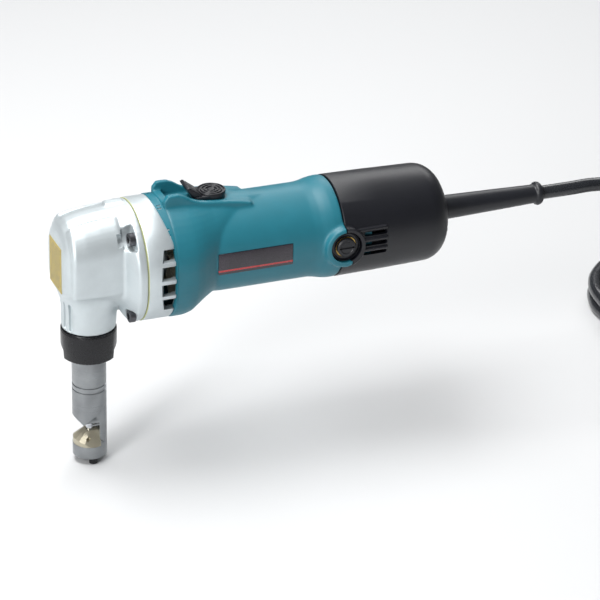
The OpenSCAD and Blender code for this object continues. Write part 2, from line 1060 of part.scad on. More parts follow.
module cord_clamp_screws() {
    color("silver")
        for (side = [-1, 1])
            translate([218 - punch_reach, side * 10, -9.5]) {
                cylinder(r = 1.5, h = 17.6);
                translate([0, 0, 17.5])
                    cylinder(r = 2.8, h = 2);
            }
}

module cord_guard() {
    color("black")
        difference() {
            along_motor(0)
                rotate_extrude()
                    polygon([
                        [0, 233.6],
                        [11.5, 233.6],
                        [11.5, 236.7],
                        [8.3, 236.7],
                        [8.3, 241],
                        [6.4, 310],
                        [6.4, 312],
                        [7.25, 313],
                        [7.25, guard_end - 0.6],
                        [6.8, guard_end],
                        [0, guard_end]
                    ]);
            bar([230, guard_end + 1], cord_r);
        }
}

module cord_tail() {
    color("black")
        bar([211, guard_end], cord_r);
}

// ---- Supply cord --------------------------------------------------------

cord_exit = guard_end - punch_reach;
lay_z = floor_z + cord_r;
coil_centre = [360, 65.8];
coil_mid_r = 56.4;

// Centre line from the guard down to the surface and into the coil
cord_route = [
    [cord_exit, 0, 0], [225, 0, 0], [245, 0, 0], [262, 0, -3], [277, 0, -11],
    [289, 0, -24], [297, 0, -41], [302, 0, -60], [306, 0, -79], [310, 0, -97],
    [317, 0, -114], [328, 0, -128], [343, 0, -136], [360, 0, lay_z]
];

// Centre line from the top of the coil down to the plug
tail_route = [
    [294.2, 66, -128.4], [294, 52, -129], [293.5, 38, -131.5], [293, 24, -135],
    [293, 10, -137.4], [294, -6, lay_z], [297, -22, lay_z], [303, -37, lay_z],
    [311, -51, lay_z]
];

cord_sides = 10;

// Direction of the route at its point i
function heading(path, i) =
    let (a = path[max(i - 1, 0)])
    let (b = path[min(i + 1, len(path) - 1)])
    (b - a) / norm(b - a);

// Ring of points round the route at its point i
function route_ring(path, i, r) =
    let (t = heading(path, i))
    let (u = cross(t, [0, 0.6, -0.8]))
    let (n = u / norm(u))
    let (b = cross(t, n))
    [for (k = [0 : cord_sides - 1])
        path[i] + r * (n * cos(k * 360 / cord_sides) + b * sin(k * 360 / cord_sides))];

// One closed tube swept along a route
module swept_cord(path, r) {
    rings = len(path);
    points = [for (i = [0 : rings - 1]) each route_ring(path, i, r)];
    sides = [
        for (i = [0 : rings - 2])
            for (k = [0 : cord_sides - 1])
                let (m = (k + 1) % cord_sides)
                [
                    i * cord_sides + k, i * cord_sides + m,
                    (i + 1) * cord_sides + m, (i + 1) * cord_sides + k
                ]
    ];
    front = [for (k = [cord_sides - 1 : -1 : 0]) k];
    back = [for (k = [0 : cord_sides - 1]) (rings - 1) * cord_sides + k];
    polyhedron(points, concat(sides, [front], [back]));
}

module supply_cord() {
    color("black")
        swept_cord(cord_route, cord_r);
}

module plug_tail() {
    color("black")
        swept_cord(tail_route, cord_r);
}

coil_w = coil_columns * cord_d;
coil_h = coil_layers * cord_d;

module cord_coil() {
    color("black")
        translate([coil_centre[0], coil_centre[1], floor_z])
            rotate_extrude()
                translate([coil_mid_r - coil_w / 2, 0])
                    square([coil_w, coil_h]);
}

tie_t = 1;
tie_w = 9;

module coil_tie() {
    color("black")
        translate([coil_centre[0], coil_centre[1], floor_z])
            rotate(70)
                translate([coil_mid_r, 0, 0])
                    difference() {
                        translate([-coil_w / 2 - tie_t - 0.6, -tie_w / 2, 0])
                            cube([coil_w + 2 * tie_t + 1.2, tie_w, coil_h + tie_t]);
                        translate([-coil_w / 2 - 0.6, -tie_w, -1])
                            cube([coil_w + 1.2, 2 * tie_w, coil_h + 1]);
                    }
}

plug_l = 42;
plug_turn = -60;

// Places a shape at the end of the plug's tail, its own X running on from the cord
module at_plug() {
    last = tail_route[len(tail_route) - 1];
    translate([last[0], last[1], 0])
        rotate(plug_turn)
            children();
}

plug_h = 16;

module plug_body() {
    color("black")
        at_plug()
            translate([0, 0, floor_z]) {
                hull() {
                    translate([0, -5.5, 0])
                        cube([1, 11, 11]);
                    translate([plug_l * 0.55, -14, 0])
                        cube([1, 28, plug_h]);
                }
                translate([plug_l * 0.55, -14, 0])
                    cube([plug_l * 0.45, 28, plug_h]);
            }
}

pin_r = 2.4;
pin_spread = 19;

module plug_pins() {
    color("silver")
        at_plug()
            for (side = [-1, 1])
                translate([plug_l, side * pin_spread / 2, floor_z + plug_h / 2])
                    rotate([0, 90, 0])
                        cylinder(r = pin_r, h = 19);
}

gear_housing();
front_label();
housing_gasket();
bearing_box();
housing_screws();
guide_bush();
crank_front_bearing();
crank_rear_bearing();
motor_housing();
field_core();
field_coils();
armature_front_bearing();
bearing_retainer();
retainer_screws();
armature_rear_bearing();
rear_bearing_sleeve();
fan_baffle();
brush_holders();
brush_guides();
carbon_brushes();
brush_springs();
brush_caps();
nameplate();
switch_block();
terminal_block();
rear_cover();
rear_cover_screws();
cord_clamp();
cord_clamp_screws();
cord_guard();
cord_tail();
supply_cord();
cord_coil();
coil_tie();
plug_tail();
plug_body();
plug_pins();
crankshaft();
drive_gear();
rod_needle_bearing();
connecting_rod();
wrist_pin();
punch_holder();
punch();
punch_set_screw();
armature_shaft();
motor_pinion();
armature_core();
armature_winding();
commutator();
cooling_fan();
die_holder();
die();
die_screws();
thrust_washer();
lock_nut();
switch_rod();
switch_lever();
lever_pin();
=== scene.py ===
import math

import bmesh
import bpy
from mathutils import Matrix, Vector


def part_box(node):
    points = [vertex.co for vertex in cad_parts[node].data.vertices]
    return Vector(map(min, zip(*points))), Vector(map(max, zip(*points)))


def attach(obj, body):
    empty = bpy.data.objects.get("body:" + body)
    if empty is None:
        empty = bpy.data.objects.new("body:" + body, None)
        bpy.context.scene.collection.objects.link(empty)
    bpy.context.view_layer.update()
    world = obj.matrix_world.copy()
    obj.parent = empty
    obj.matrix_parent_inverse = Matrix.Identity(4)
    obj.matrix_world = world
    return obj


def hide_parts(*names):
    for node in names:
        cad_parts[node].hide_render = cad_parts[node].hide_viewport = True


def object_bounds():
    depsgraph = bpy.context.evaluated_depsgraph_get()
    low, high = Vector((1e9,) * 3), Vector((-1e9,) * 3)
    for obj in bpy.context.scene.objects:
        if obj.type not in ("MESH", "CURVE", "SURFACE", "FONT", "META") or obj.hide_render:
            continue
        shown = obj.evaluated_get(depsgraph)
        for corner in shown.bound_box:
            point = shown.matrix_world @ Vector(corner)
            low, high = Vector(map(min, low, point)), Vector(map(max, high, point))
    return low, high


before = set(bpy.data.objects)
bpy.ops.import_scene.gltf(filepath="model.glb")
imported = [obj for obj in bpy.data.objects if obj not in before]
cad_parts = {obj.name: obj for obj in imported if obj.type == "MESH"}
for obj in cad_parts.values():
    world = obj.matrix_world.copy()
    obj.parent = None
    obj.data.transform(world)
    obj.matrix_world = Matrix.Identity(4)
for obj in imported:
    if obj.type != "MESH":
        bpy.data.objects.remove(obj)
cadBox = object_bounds()
print("frame loaded:", len(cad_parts), "nodes")

mm = 0.001
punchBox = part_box("punch")
punchX = (punchBox[0].x + punchBox[1].x) / 2
floorZ = cadBox[0].z
sides = (-1, 1)  # y is negative on the tool's left
beyond = 60  # millimetres, further across than any part of the tool
# New pieces are shaped in millimetres, with x counted back from the punch axis, and end in metres
shopToFrame = Matrix.Translation((punchX, 0, 0)) @ Matrix.Scale(mm, 4)


view = {
    "target": (0.0333, 0.0, -0.0518),
    "distance": 2.01,
    "azimuth": -22.19,  # degrees round from straight on
    "elevation": 26.94,
    "roll": 1.4,
    "lens": 184.1,
    "sensor": 36.0,
}


def makeCamera():
    azimuth, elevation, roll = (math.radians(view[key]) for key in ("azimuth", "elevation", "roll"))
    back = Vector((
        math.sin(azimuth) * math.cos(elevation),
        -math.cos(azimuth) * math.cos(elevation),
        math.sin(elevation),
    ))
    level = Vector((math.cos(azimuth), math.sin(azimuth), 0))
    upright = back.cross(level)
    right = level * math.cos(roll) + upright * math.sin(roll)
    up = back.cross(right)
    data = bpy.data.cameras.new("camera")
    data.lens = view["lens"]
    data.sensor_width = view["sensor"]
    camera = bpy.data.objects.new("camera", data)
    turn = Matrix((right, up, back)).transposed().to_4x4()
    camera.matrix_world = Matrix.Translation(Vector(view["target"]) + back * view["distance"]) @ turn
    bpy.context.scene.collection.objects.link(camera)
    bpy.context.scene.camera = camera


makeCamera()


def makePiece(bm, name):
    mesh = bpy.data.meshes.new(name)
    bm.to_mesh(mesh)
    bm.free()
    piece = bpy.data.objects.new(name, mesh)
    bpy.context.scene.collection.objects.link(piece)
    return piece


def remove(*pieces):
    for piece in pieces:
        mesh = piece.data
        bpy.data.objects.remove(piece)
        bpy.data.meshes.remove(mesh)


def settle(piece):  # puts the modifiers into the mesh
    graph = bpy.context.evaluated_depsgraph_get()
    graph.update()
    shaped = bpy.data.meshes.new_from_object(piece.evaluated_get(graph))
    old = piece.data
    piece.modifiers.clear()
    piece.data = shaped
    bpy.data.meshes.remove(old)


def combine(piece, tools, operation):
    group = bpy.data.collections.new("tools")
    bpy.context.scene.collection.children.link(group)
    for tool in tools:
        group.objects.link(tool)
    step = piece.modifiers.new(operation, "BOOLEAN")
    step.operation = operation
    step.solver = "EXACT"
    step.operand_type = "COLLECTION"
    step.collection = group
    settle(piece)
    bpy.data.collections.remove(group)
    remove(*tools)


def carve(piece, *tools):
    combine(piece, tools, "DIFFERENCE")


def weld(piece, *tools):
    combine(piece, tools, "UNION")


def gather(pieces):  # one bmesh out of several pieces, which it uses up
    bm = bmesh.new()
    for piece in pieces:
        bm.from_mesh(piece.data)
    remove(*pieces)
    return bm


def faceOut(piece):
    bm = bmesh.new()
    bm.from_mesh(piece.data)
    bmesh.ops.recalc_face_normals(bm, faces=bm.faces)
    bm.to_mesh(piece.data)
    bm.free()


def melt(pieces, voxel, rounds, name):
    # Runs overlapping solids together into one skin, then softens its corners
    skin = makePiece(gather(pieces), name)
    step = skin.modifiers.new("skin", "REMESH")
    step.mode = "VOXEL"
    step.voxel_size = voxel
    soft = skin.modifiers.new("soft", "SMOOTH")
    soft.factor = 0.5
    soft.iterations = rounds
    settle(skin)
    return skin


def roundEdges(piece, width, segments=3, angle=35):
    step = piece.modifiers.new("edges", "BEVEL")
    step.width = width
    step.segments = segments
    step.limit_method = "ANGLE"
    step.angle_limit = math.radians(angle)
    settle(piece)


def placed(piece, matrix):
    piece.data.transform(matrix)
    return piece


def finishPiece(piece, body, finish, *nodes, sharp=32):
    piece.data.transform(shopToFrame)
    dress(piece, body, finish, *nodes, sharp=sharp)


def dress(piece, body, finish, *nodes, sharp=32):
    piece.data.materials.clear()
    piece.data.materials.append(finishes[finish])
    piece.data.shade_smooth()
    piece.data.set_sharp_from_angle(angle=math.radians(sharp))
    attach(piece, body)
    if nodes:
        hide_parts(*nodes)


def ring(bm, station, width, low, high, corner, steps, lowCorner=None):
    # A rounded rectangle across x: the quarters of a circle, moved out to its four corners
    circle = bmesh.ops.create_circle(bm, segments=4 * steps, radius=1)["verts"]
    offset = Matrix.Rotation(math.pi / (4 * steps), 3, "Z")
    for vert in circle:
        y, z, _ = offset @ vert.co
        radius = corner if z > 0 or lowCorner is None else lowCorner
        reach = high - radius if z > 0 else low + radius
        vert.co = (station, y * radius + math.copysign(width / 2 - radius, y), z * radius + reach)
    return list({edge for vert in circle for edge in vert.link_edges})


def loft(name, sections, steps=8):
    # A section is its station, width, low, high and corner radius, with a lower corner's where it differs
    bm = bmesh.new()
    loops = [ring(bm, *section[:5], steps, *section[5:]) for section in sections]
    for near, far in zip(loops, loops[1:]):
        bmesh.ops.bridge_loops(bm, edges=near + far)
    for end in (loops[0], loops[-1]):
        bmesh.ops.contextual_create(bm, geom=end)
    bmesh.ops.recalc_face_normals(bm, faces=bm.faces)
    return makePiece(bm, name)


def tunnel(name, span, outline, steps=16):
    return loft(name, [(station, *outline) for station in span], steps)


upward = Matrix(((0, 0, 1, 0), (0, 1, 0, 0), (1, 0, 0, 0), (0, 0, 0, 1)))  # swaps x and z
sideways = Matrix(((0, 1, 0, 0), (1, 0, 0, 0), (0, 0, 1, 0), (0, 0, 0, 1)))  # swaps x and y


def swapped(piece, matrix, centre=(0, 0, 0)):
    piece.data.transform(Matrix.Translation(centre) @ matrix)
    piece.data.flip_normals()  # two axes changed places, which turns a shape inside out
    return piece


def turned(name, profile, steps=96, closed=False):
    # Spins a profile of (x, radius) points about the x axis
    bm = bmesh.new()
    verts = [bm.verts.new((along, 0, radius)) for along, radius in profile]
    pairs = list(zip(verts, verts[1:]))
    if closed:
        pairs.append((verts[-1], verts[0]))
    edges = [bm.edges.new(pair) for pair in pairs]
    bmesh.ops.spin(bm, geom=verts + edges, cent=(0, 0, 0), axis=(1, 0, 0), angle=math.tau,
                   steps=steps, use_merge=True)
    bmesh.ops.remove_doubles(bm, verts=bm.verts, dist=0.001)
    bmesh.ops.recalc_face_normals(bm, faces=bm.faces)
    return makePiece(bm, name)


def bar(start, end, radius, y=0.0, z=0.0, steps=64):
    piece = turned("bar", [(start, 0), (start, radius), (end, radius), (end, 0)], steps)
    return placed(piece, Matrix.Translation((0, y, z)))


def post(low, high, radius, x=0.0, y=0.0, steps=64):
    piece = turned("post", [(low, 0), (low, radius), (high, radius), (high, 0)], steps)
    return swapped(piece, upward, (x, y, 0))


def sideTurned(name, side, profile, station, z=0.0, steps=96, closed=False):
    # Spins a profile of (distance out from the middle, radius) points about a line along y
    piece = turned(name, [(side * out, radius) for out, radius in profile], steps, closed)
    return swapped(piece, sideways, (station, 0, z))


def sideBore(side, radius, station):
    profile = [(20, 0), (20, radius), (40, radius), (40, 0)]
    return sideTurned("sideBore", side, profile, station, steps=64)


def block(xs, ys, zs, name="block"):
    bm = bmesh.new()
    bmesh.ops.create_cube(bm, size=1)
    size = (xs[1] - xs[0], ys[1] - ys[0], zs[1] - zs[0])
    bmesh.ops.scale(bm, vec=size, verts=bm.verts)
    centre = ((xs[0] + xs[1]) / 2, (ys[0] + ys[1]) / 2, (zs[0] + zs[1]) / 2)
    bmesh.ops.translate(bm, vec=centre, verts=bm.verts)
    return makePiece(bm, name)


def prism(name, outline, low, high, flat=False):
    # Extrudes an outline in x and z across y, or an outline in x and y up z where flat is set
    bm = bmesh.new()
    if flat:
        verts = [bm.verts.new((x, y, low)) for x, y in outline]
        move = (0, 0, high - low)
    else:
        verts = [bm.verts.new((x, low, z)) for x, z in outline]
        move = (0, high - low, 0)
    face = bm.faces.new(verts)
    grown = bmesh.ops.extrude_face_region(bm, geom=[face])["geom"]
    bmesh.ops.translate(bm, vec=move, verts=[v for v in grown if isinstance(v, bmesh.types.BMVert)])
    bmesh.ops.recalc_face_normals(bm, faces=bm.faces)
    return makePiece(bm, name)


def arc(centreX, centreR, radius, start, end, steps):
    angles = [math.radians(start + (end - start) * i / steps) for i in range(steps + 1)]
    return [(centreX + radius * math.cos(a), centreR + radius * math.sin(a)) for a in angles]


finishes = {}
patternPlaces = {}


def addNoise(material, vector, scale, detail=3.0, stretch=(1, 1, 1)):
    nodes, links = material.node_tree.nodes, material.node_tree.links
    mapping = nodes.new("ShaderNodeMapping")
    mapping.inputs["Scale"].default_value = stretch
    noise = nodes.new("ShaderNodeTexNoise")
    noise.inputs["Scale"].default_value = scale
    noise.inputs["Detail"].default_value = detail
    links.new(vector, mapping.inputs["Vector"])
    links.new(mapping.outputs["Vector"], noise.inputs["Vector"])
    return noise.outputs["Fac"]


def addRange(material, value, low, high):
    # Spreads the middle of a noise, where most of it lies, over the whole range
    nodes, links = material.node_tree.nodes, material.node_tree.links
    spread = nodes.new("ShaderNodeMapRange")
    spread.inputs["From Min"].default_value = 0.3
    spread.inputs["From Max"].default_value = 0.7
    spread.inputs["To Min"].default_value = low
    spread.inputs["To Max"].default_value = high
    links.new(value, spread.inputs["Value"])
    return spread.outputs["Result"]


def addMix(material, fac, first, second):
    nodes, links = material.node_tree.nodes, material.node_tree.links
    mix = nodes.new("ShaderNodeMix")
    mix.data_type = "RGBA"
    links.new(fac, mix.inputs["Factor"])
    for index, value in ((6, first), (7, second)):  # the two colour sockets, A and B
        if isinstance(value, tuple):
            mix.inputs[index].default_value = (*value, 1)
        else:
            links.new(value, mix.inputs[index])
    return mix.outputs[2]


def addMath(material, operation, first, second):
    node = material.node_tree.nodes.new("ShaderNodeMath")
    node.operation = operation
    for socket, value in zip(node.inputs, (first, second)):
        if isinstance(value, (int, float)):
            socket.default_value = value
        else:
            material.node_tree.links.new(value, socket)
    return node.outputs[0]


def addBand(material, value, low, high):
    # One where the value lies between low and high
    over = addMath(material, "GREATER_THAN", value, low)
    under = addMath(material, "LESS_THAN", value, high)
    return addMath(material, "MULTIPLY", over, under)


def darker(colour, share):
    return tuple(channel * share for channel in colour)


def makeFinish(name, colour, rough, dark=None, tone=0.86, metal=0.0, coat=0.0, cloud=(90, 4),
               grain=(1500, 0.00002), detail=2, stretch=(1, 1, 1)):
    # Two near tones in soft clouds, with a fine grain that sets the roughness and lifts the surface
    material = bpy.data.materials.new(name)
    material.use_nodes = True
    nodes, links = material.node_tree.nodes, material.node_tree.links
    shader = nodes["Principled BSDF"]
    shader.inputs["Metallic"].default_value = metal
    shader.inputs["Coat Weight"].default_value = coat
    shader.inputs["Coat Roughness"].default_value = 0.1
    where = nodes.new("ShaderNodeTexCoord").outputs["Object"]
    clouds = addRange(material, addNoise(material, where, *cloud), 0, 1)
    links.new(addMix(material, clouds, dark or darker(colour, tone), colour), shader.inputs["Base Color"])
    fine = addNoise(material, where, grain[0], detail, stretch)
    links.new(addRange(material, fine, *rough), shader.inputs["Roughness"])
    bump = nodes.new("ShaderNodeBump")
    bump.inputs["Distance"].default_value = grain[1]
    links.new(fine, bump.inputs["Height"])
    links.new(bump.outputs["Normal"], shader.inputs["Normal"])
    finishes[name] = material
    patternPlaces[name] = where


def paintOver(name, where, colour):  # where is one, the colour covers the finish
    material = finishes[name]
    socket = material.node_tree.nodes["Principled BSDF"].inputs["Base Color"]
    under = socket.links[0].from_socket
    material.node_tree.links.new(addMix(material, where, under, colour), socket)


# Each grain is the noise's scale and the depth of its bumps in metres
finishSettings = {
    "cast_aluminium": dict(colour=(0.60, 0.655, 0.675), rough=(0.40, 0.50), metal=0.6,
                           grain=(1300, 0.000035), tone=0.93),
    "gasket_paper": dict(colour=(0.56, 0.58, 0.30), rough=(0.7, 0.85)),
    "screw_steel": dict(colour=(0.11, 0.11, 0.12), rough=(0.28, 0.42), metal=0.9),
    "bronze": dict(colour=(0.48, 0.28, 0.11), rough=(0.3, 0.45), metal=1.0),
    "bearing_steel": dict(colour=(0.62, 0.64, 0.67), rough=(0.14, 0.24), metal=1.0),
    "teal_plastic": dict(colour=(0.012, 0.15, 0.20), rough=(0.38, 0.5), grain=(2100, 0.00003),
                         tone=0.93),
    "core_steel": dict(colour=(0.32, 0.32, 0.34), rough=(0.35, 0.5), metal=1.0,
                       grain=(1600, 0.00002), stretch=(1, 0.02, 0.02)),
    "copper": dict(colour=(0.55, 0.19, 0.07), rough=(0.25, 0.4), metal=0.9,
                   grain=(1400, 0.0001), stretch=(1, 0.1, 0.1)),
    "zinc_plate": dict(colour=(0.55, 0.57, 0.56), rough=(0.25, 0.4), metal=1.0),
    "black_rubber": dict(colour=(0.010, 0.011, 0.015), rough=(0.34, 0.48), grain=(1700, 0.00002)),
    "black_plastic": dict(colour=(0.006, 0.0065, 0.010), rough=(0.34, 0.46), grain=(2100, 0.00003)),
    "brass": dict(colour=(0.62, 0.41, 0.12), rough=(0.25, 0.4), metal=1.0),
    "carbon": dict(colour=(0.03, 0.03, 0.032), rough=(0.5, 0.7)),
    "spring_steel": dict(colour=(0.5, 0.51, 0.53), rough=(0.2, 0.3), metal=1.0),
    "ivory_plastic": dict(colour=(0.72, 0.68, 0.56), rough=(0.4, 0.5)),
    "tool_steel": dict(colour=(0.50, 0.46, 0.35), rough=(0.3, 0.4), metal=0.6),
    "black_oxide": dict(colour=(0.006, 0.006, 0.008), rough=(0.2, 0.3), metal=0.2,
                        grain=(900, 0.00001)),
    # Steel off the lathe, whose stretched grain is fine rings round the punch axis
    "machined_steel": dict(dark=(0.24, 0.25, 0.26), colour=(0.33, 0.345, 0.355), rough=(0.27, 0.42),
                           metal=1.0, cloud=(60, 3), grain=(700, 0.000012), detail=3,
                           stretch=(0.02, 0.02, 3)),
    "nameplate_enamel": dict(dark=(0.012, 0.008, 0.014), colour=(0.02, 0.013, 0.023), rough=(0.2, 0.3),
                             coat=0.5, cloud=(80, 3), grain=(1600, 0.000006)),
    "yellow_sticker": dict(dark=(0.36, 0.27, 0.045), colour=(0.42, 0.32, 0.055), rough=(0.34, 0.46),
                           cloud=(120, 3), grain=(1500, 0.000008)),
    # The cord has more shine than the rubber of its guard
    "cordSheath": dict(dark=(0.012, 0.013, 0.016), colour=(0.02, 0.022, 0.026), rough=(0.2, 0.3),
                       coat=0.3, cloud=(70, 3), grain=(1200, 0.00001)),
}
for finishName, finishKind in finishSettings.items():
    makeFinish(finishName, **finishKind)

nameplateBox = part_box("nameplate")
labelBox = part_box("front_label")
stripe = {
    "colour": (0.42, 0.022, 0.025),
    "span": (0.125, 0.21),  # from its lower to its upper edge, as shares of the plate's height
}
sticker = {
    "ink": (0.07, 0.055, 0.025),
    "pitch": 0.0011,  # half the distance from one ruled row to the next
    "rowStart": 0.00072,  # where in that half the ink starts
    "dashes": (420, 1, (1, 1, 0.6)),  # scale, detail and stretch of the noise that breaks the rows
    "dashStart": 0.47,
    "width": 0.86,  # the printed share of its width, and its printed span from foot to head
    "span": (0.05, 0.94),
}


def axisValues(material, where):
    split = material.node_tree.nodes.new("ShaderNodeSeparateXYZ")
    material.node_tree.links.new(where, split.inputs[0])
    return split.outputs["X"], split.outputs["Y"], split.outputs["Z"]


def paintStripe():
    material = finishes["nameplate_enamel"]
    _, _, z = axisValues(material, patternPlaces["nameplate_enamel"])
    foot, head = nameplateBox[0].z, nameplateBox[1].z
    low, high = (foot + share * (head - foot) for share in stripe["span"])
    paintOver("nameplate_enamel", addBand(material, z, low, high), stripe["colour"])


def paintRows():
    # Rows of plain ruled dashes inside a clear border
    material, where = finishes["yellow_sticker"], patternPlaces["yellow_sticker"]
    _, y, z = axisValues(material, where)
    half = sticker["width"] * (labelBox[1].y - labelBox[0].y) / 2
    foot, head = labelBox[0].z, labelBox[1].z
    low, high = (foot + share * (head - foot) for share in sticker["span"])
    wave = addMath(material, "PINGPONG", z, sticker["pitch"])
    rows = addBand(material, wave, sticker["rowStart"], sticker["pitch"])
    dashes = addBand(material, addNoise(material, where, *sticker["dashes"]), sticker["dashStart"], 1)
    for limit in (dashes, addBand(material, y, -half, half), addBand(material, z, low, high)):
        rows = addMath(material, "MULTIPLY", rows, limit)
    paintOver("yellow_sticker", rows, sticker["ink"])


paintStripe()
paintRows()
print("finishes made:", len(finishes))


cord = {
    "diameter": 0.0094,
    # From the guard down to the surface and into the coil, in millimetres
    "route": [
        (205, 0, 0), (225, 0, 0), (245, 0, 0), (262, 0, -3), (277, 0, -11),
        (289, 0, -24), (297, 0, -41), (302, 0, -60), (306, 0, -79), (310, 0, -97),
        (317, 0, -114), (328, 0, -128), (343, 0, -136), (360, 0, -137.8),
    ],
    # From the top of the coil down to the plug
    "tail": [
        (294.2, 66, -128.4), (294, 52, -129), (293.5, 38, -131.5), (293, 24, -135),
        (293, 10, -137.4), (294, -6, -137.8), (297, -22, -137.8), (303, -37, -137.8),
        (311, -51, -137.8),
    ],
    "coilCentre": (360, 65.8),
    "columns": (65.8, 56.4, 47.0, 47.0, 56.4, 65.8),  # radius of each turn, in then out
    "turnSteps": 16,
    "turns": 5.75,
    "shiftFrom": 0.7,  # the share of a turn after which it moves over to the next column
    "climb": (2.45, 2.7),  # the turns over which the second layer rises onto the first
}


def easeOver(value, start, end):
    share = min(max((value - start) / (end - start), 0), 1)
    return share * share * (3 - 2 * share)


def coilPoints():
    layer = cord["diameter"] / mm
    low = floorZ / mm + layer / 2
    columns = cord["columns"]
    points = []
    for step in range(1, int(cord["turns"] * cord["turnSteps"])):
        turn = step / cord["turnSteps"]
        index = min(int(turn), len(columns) - 2)
        shift = easeOver(turn - index, cord["shiftFrom"], 1)
        radius = columns[index] + (columns[index + 1] - columns[index]) * shift
        if turn >= len(columns) - 1:
            radius = columns[-1]
        angle = math.radians(-90 + 360 * turn)
        points.append((
            cord["coilCentre"][0] + radius * math.cos(angle),
            cord["coilCentre"][1] + radius * math.sin(angle),
            low + layer * easeOver(turn, *cord["climb"]),
        ))
    return points


def makeCord():
    points = [Vector(p) * mm for p in cord["route"] + coilPoints() + cord["tail"]]
    data = bpy.data.curves.new("supplyCord", "CURVE")
    data.dimensions = "3D"
    data.bevel_depth = cord["diameter"] / 2
    data.bevel_resolution = 5
    data.resolution_u = 5
    data.use_fill_caps = True
    spline = data.splines.new("BEZIER")
    spline.bezier_points.add(len(points) - 1)
    for knot, point in zip(spline.bezier_points, points):
        knot.co = point
        knot.handle_left_type = "AUTO"
        knot.handle_right_type = "AUTO"
    data.materials.append(finishes["cordSheath"])
    piece = bpy.data.objects.new("supplyCord", data)
    bpy.context.scene.collection.objects.link(piece)
    length = sum((b - a).length for a, b in zip(points, points[1:]))
    print("cord length in metres:", round(length, 3))
    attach(piece, "tool_body")
    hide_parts("supply_cord", "cord_coil", "plug_tail")
    return piece, length


plug = {
    "turn": -60,  # degrees it lies round from x
    "sections": [  # station, width, low and high above the floor, corner
        (-4, 11.0, 0.1, 11, 5.4),
        (3, 11.6, 0.1, 11.6, 5.4),
        (8, 13.5, 0.1, 12.8, 5.2),
        (15, 20, 0.1, 15, 5.5),
        (22, 26.5, 0.1, 16, 6),
        (28, 28, 0.1, 16, 6.4),
        (38, 28, 0.1, 16, 6.4),
        (40.5, 25.5, 1.2, 15.0, 6),
        (42, 25, 1.4, 14.8, 6),
    ],
    "grooves": (19, 23, 27),
    "grooveWidth": 1.4,
    "grooveFrom": 13,  # how far out from its middle the finger grooves start
}


def makePlug():
    foot = floorZ / mm
    body = loft("plugBody", [(station, width, foot + low, foot + high, corner)
                             for station, width, low, high, corner in plug["sections"]])
    grooves = [block((x, x + plug["grooveWidth"]), sorted((side * plug["grooveFrom"], side * 21)),
                     (foot - 1, foot + 20)) for x in plug["grooves"] for side in sides]
    carve(body, *grooves)
    roundEdges(body, 0.5, 2)
    end = cord["tail"][-1]
    turn = Matrix.Rotation(math.radians(plug["turn"]), 4, "Z")
    body.data.transform(Matrix.Scale(mm, 4) @ Matrix.Translation((end[0], end[1], 0)) @ turn)
    dress(body, "tool_body", "black_rubber", "plug_body")
    return body


tie = {
    "turn": 70,  # degrees round the coil
    "half": 4.5,
    "wall": 1.0,
    "slack": 0.6,  # between the turns and the strap, at each side
    "bucklePlan": ((-5, 5), (-5.2, 5.2)),
}


def makeTie():
    layer = cord["diameter"] / mm
    half, height = 3 * layer / 2 + tie["slack"], 2 * layer  # the coil is three turns wide and two high
    foot = floorZ / mm
    top = foot + height + tie["wall"]
    outside = half + tie["wall"]
    strap = block((-outside, outside), (-tie["half"], tie["half"]), (foot, top), "coilTie")
    carve(strap, block((-half, half), (-2 * tie["half"], 2 * tie["half"]), (foot - 1, foot + height + 0.1)))
    weld(strap, block(*tie["bucklePlan"], (foot + height + 0.3, top)))
    roundEdges(strap, 0.35, 2)
    turn = Matrix.Translation((*cord["coilCentre"], 0)) @ Matrix.Rotation(math.radians(tie["turn"]), 4, "Z")
    strap.data.transform(Matrix.Scale(mm, 4) @ turn @ Matrix.Translation((cord["columns"][1], 0, 0)))
    dress(strap, "tool_body", "black_plastic", "coil_tie")
    return strap


cordPiece, cordLength = makeCord()
plugPiece = makePlug()
tiePiece = makeTie()
print("cord laid")


studio = {
    "floorColour": (0.66, 0.665, 0.67),
    "worldColour": (0.95, 0.97, 1.0),
    "worldLight": 0.17,
    "lamps": {  # place, aim, size across and up, watts
        "overhead": ((-0.3, 0.1, 1.3), (0.0, 0.0, 0.0), (1.3, 0.7), 27),
        "front": ((-1.3, -0.9, 0.7), (0.0, 0.0, -0.03), (0.45, 0.9), 19),
        "rear": ((0.8, 1.0, 0.9), (0.05, 0.0, 0.0), (1.0, 0.6), 7),
    },
}


def makeStudio():
    bm = bmesh.new()
    bmesh.ops.create_grid(bm, x_segments=1, y_segments=1, size=6)
    bmesh.ops.translate(bm, vec=(0, 0, floorZ - 0.0002), verts=bm.verts)  # just clear of the cord
    floor = makePiece(bm, "floor")
    material = bpy.data.materials.new("paleFloor")
    material.use_nodes = True
    shader = material.node_tree.nodes["Principled BSDF"]
    shader.inputs["Base Color"].default_value = (*studio["floorColour"], 1)
    shader.inputs["Roughness"].default_value = 0.9
    floor.data.materials.append(material)
    world = bpy.data.worlds.new("studio")
    world.use_nodes = True
    sky = world.node_tree.nodes["Background"]
    sky.inputs["Color"].default_value = (*studio["worldColour"], 1)
    sky.inputs["Strength"].default_value = studio["worldLight"]
    bpy.context.scene.world = world
    for name, (place, aim, size, power) in studio["lamps"].items():
        data = bpy.data.lights.new(name, "AREA")
        data.shape = "RECTANGLE"
        data.size, data.size_y = size
        data.energy = power
        lamp = bpy.data.objects.new(name, data)
        lamp.location = place
        lamp.rotation_euler = (Vector(aim) - Vector(place)).to_track_quat("-Z", "Y").to_euler()
        bpy.context.scene.collection.objects.link(lamp)


makeStudio()
bpy.context.scene.view_settings.view_transform = "Standard"
print("studio ready")


